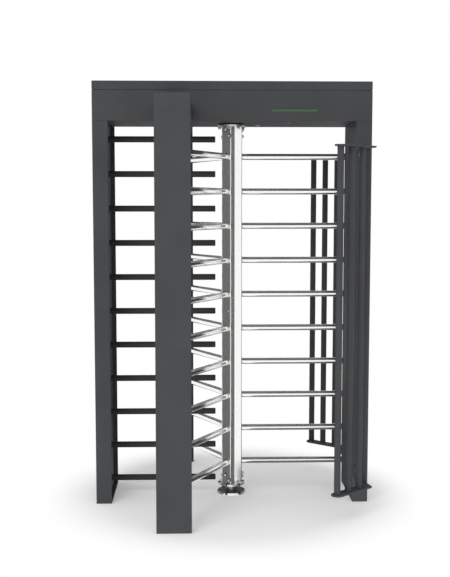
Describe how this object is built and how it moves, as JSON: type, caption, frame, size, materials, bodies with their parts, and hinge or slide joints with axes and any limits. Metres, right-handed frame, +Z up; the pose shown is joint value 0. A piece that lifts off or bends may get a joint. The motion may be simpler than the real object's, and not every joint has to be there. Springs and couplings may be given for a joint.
{
  "type": "full height turnstile",
  "caption": "Full height turnstile: a vertical rotor with three wings of horizontal arms turns between a fixed comb, bent guards and posts under a header.",
  "frame": {"origin": "where the rotor's axis meets the floor", "axes": "+Z up along the rotor's axis, +X towards the guards, with the comb on the -X side, -Y the front with the indicator light"},
  "size_m": [1.5, 1.3678, 2.3],
  "materials": {
    "graphite_paint": "satin powder coat",
    "comb_paint": "satin powder coat",
    "polished_steel": "polished stainless steel",
    "blackened_steel": "blackened",
    "machined_steel": "machined and oiled",
    "cast_aluminium": "as cast",
    "green_lens": "diffusing lens",
    "grey_plastic": "moulded"
  },
  "bodies": {
    "frame": {"header_casing": "graphite_paint", "header_lid": "graphite_paint", "indicator_light_lens": "green_lens", "left_post": "graphite_paint", "comb_carrier": "graphite_paint", "right_post": "graphite_paint", "right_post_cover": "graphite_paint", "front_arm": "graphite_paint", "front_post": "graphite_paint", "rear_arm": "graphite_paint", "rear_post": "graphite_paint", "comb_bar_01": "comb_paint", "comb_bar_02": "comb_paint", "comb_bar_03": "comb_paint", "comb_bar_04": "comb_paint", "comb_bar_05": "comb_paint", "comb_bar_06": "comb_paint", "comb_bar_07": "comb_paint", "comb_bar_08": "comb_paint", "comb_bar_09": "comb_paint", "comb_bar_10": "comb_paint", "comb_bar_11": "comb_paint", "front_guard_bottom_plate": "graphite_paint", "front_guard_top_plate": "graphite_paint", "front_guard_tube_1": "graphite_paint", "front_guard_tube_2": "graphite_paint", "front_guard_tube_3": "graphite_paint", "front_guard_tube_4": "graphite_paint", "rear_guard_bottom_plate": "graphite_paint", "rear_guard_top_plate": "graphite_paint", "rear_guard_tube_1": "graphite_paint", "rear_guard_tube_2": "graphite_paint", "rear_guard_tube_3": "graphite_paint", "rear_guard_tube_4": "graphite_paint", "floor_pivot_plate": "blackened_steel", "floor_pivot_spigot": "machined_steel", "floor_thrust_bearing": "machined_steel", "top_bearing_housing": "cast_aluminium", "top_bearing_outer_ring": "machined_steel", "mechanism_plate": "machined_steel", "gearmotor": "cast_aluminium", "front_lock_solenoid": "blackened_steel", "rear_lock_solenoid": "blackened_steel", "control_box": "grey_plastic"},
    "rotor": {"rotor_wing_a": "polished_steel", "rotor_wing_b": "polished_steel", "rotor_wing_c": "polished_steel", "rotor_bottom_flange": "polished_steel", "rotor_top_flange": "polished_steel", "rotor_shaft": "machined_steel", "top_bearing_inner_ring": "machined_steel", "lock_disc": "machined_steel", "drive_gear": "machined_steel"},
    "pinion": {"motor_pinion": "machined_steel"},
    "rear_pawl": {"rear_lock_pawl": "machined_steel"},
    "front_pawl": {"front_lock_pawl": "machined_steel"},
    "rear_plunger": {"rear_lock_plunger": "polished_steel"},
    "front_plunger": {"front_lock_plunger": "polished_steel"},
    "hatch": {"service_hatch": "graphite_paint"},
    "hatch_lock": {"hatch_lock": "machined_steel"}
  },
  "joints": [
    {"name": "rotor_turn", "type": "hinge", "parent": "frame", "child": "rotor", "pos_m": [0, 0, 0], "axis": [0, 0, 1], "continuous": true},
    {"name": "pinion_turn", "type": "hinge", "parent": "frame", "child": "pinion", "pos_m": [-0.12, 0, 2.158], "axis": [0, 0, 1], "continuous": true},
    {"name": "rear_pawl_hinge", "type": "hinge", "parent": "frame", "child": "rear_pawl", "pos_m": [-0.02969, 0.12857, 2.14], "axis": [0, 0, -1], "range_deg": [0, 8.5], "stiffness_Nm_per_rad": 0.5, "springref_deg": -5.73},
    {"name": "front_pawl_hinge", "type": "hinge", "parent": "frame", "child": "front_pawl", "pos_m": [-0.02969, -0.12857, 2.14], "axis": [0, 0, 1], "range_deg": [0, 8.5], "stiffness_Nm_per_rad": 0.5, "springref_deg": -5.73},
    {"name": "rear_plunger_slide", "type": "slide", "parent": "frame", "child": "rear_plunger", "axis": [0.5, 0.866, 0], "range_m": [0, 0.0066]},
    {"name": "front_plunger_slide", "type": "slide", "parent": "frame", "child": "front_plunger", "axis": [0.5, -0.866, 0], "range_m": [0, 0.0066]},
    {"name": "service_hatch_hinge", "type": "hinge", "parent": "frame", "child": "hatch", "pos_m": [0.31, 0.175, 2.09], "axis": [1, 0, 0], "range_deg": [0, 30]},
    {"name": "hatch_lock_turn", "type": "hinge", "parent": "hatch", "child": "hatch_lock", "pos_m": [0.31, -0.097, 2.09], "axis": [0, 0, -1], "range_deg": [0, 90]}
  ],
  "couplings": [
    {"joint": "pinion_turn", "follows": "rotor_turn", "ratio": -2.3333},
    {"joint": "rear_plunger_slide", "follows": "rear_pawl_hinge", "m_per_rad": 0.044},
    {"joint": "front_plunger_slide", "follows": "front_pawl_hinge", "m_per_rad": 0.044}
  ]
}
